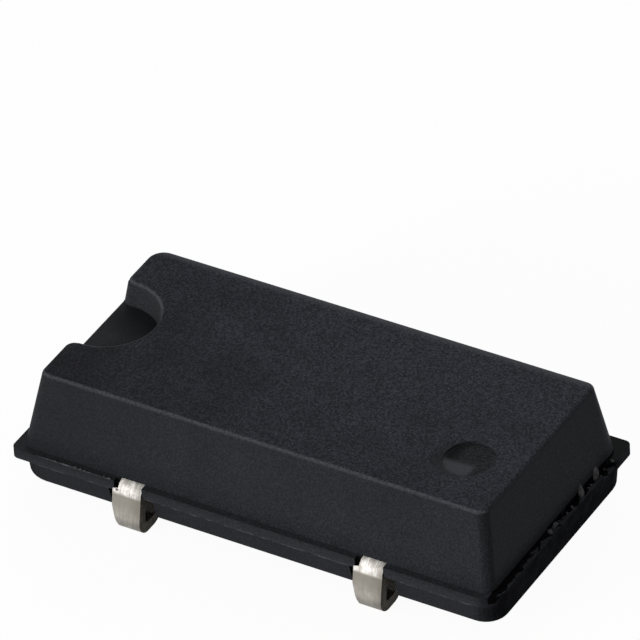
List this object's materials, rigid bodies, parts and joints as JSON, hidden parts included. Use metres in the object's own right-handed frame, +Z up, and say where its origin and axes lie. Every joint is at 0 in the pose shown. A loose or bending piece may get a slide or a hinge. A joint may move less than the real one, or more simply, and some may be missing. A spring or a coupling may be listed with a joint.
{
  "type": "surface-mount crystal oscillator",
  "caption": "Rectangular moulded surface-mount clock oscillator with drafted sides, a half-round end notch and J-bent leads tucked under its long sides.",
  "frame": {"origin": "centre of the package's outline, on the plane of the board under the feet", "axes": "+X along the package away from the end notch, +Y across it towards leads 3 and 4, +Z up from the board towards the top face"},
  "size_m": [0.0102, 0.0056, 0.0026],
  "materials": {
    "mould_compound": "fine satin-matte moulded epoxy, black",
    "plated_lead": "matte tin plate with fine draw lines",
    "can_metal": "drawn nickel silver, satin",
    "base_metal": "solder-plated pressed ring",
    "seal_glass": "dark sealing glass",
    "pin_metal": "plated iron alloy wire",
    "quartz": "lapped quartz with a thin metal film",
    "silver_cement": "silver-filled cement, matte",
    "silicon": "polished silicon",
    "die_adhesive": "silver-filled die adhesive",
    "gold_wire": "drawn gold wire"
  },
  "bodies": {
    "root": {"body": "mould_compound", "lead_1": "plated_lead", "lead_2": "plated_lead", "lead_3": "plated_lead", "lead_4": "plated_lead", "crystal_tab_1": "plated_lead", "crystal_tab_2": "plated_lead", "die_attach": "die_adhesive", "chip": "silicon", "bond_wire_1": "gold_wire", "bond_wire_2": "gold_wire", "bond_wire_3": "gold_wire", "bond_wire_4": "gold_wire", "bond_wire_5": "gold_wire", "bond_wire_6": "gold_wire", "crystal_can": "can_metal", "crystal_base_ring": "base_metal", "crystal_glass_seal": "seal_glass", "crystal_pin_1": "pin_metal", "crystal_pin_2": "pin_metal", "quartz_blank": "quartz", "blank_cement_1": "silver_cement", "blank_cement_2": "silver_cement"}
  },
  "joints": []
}
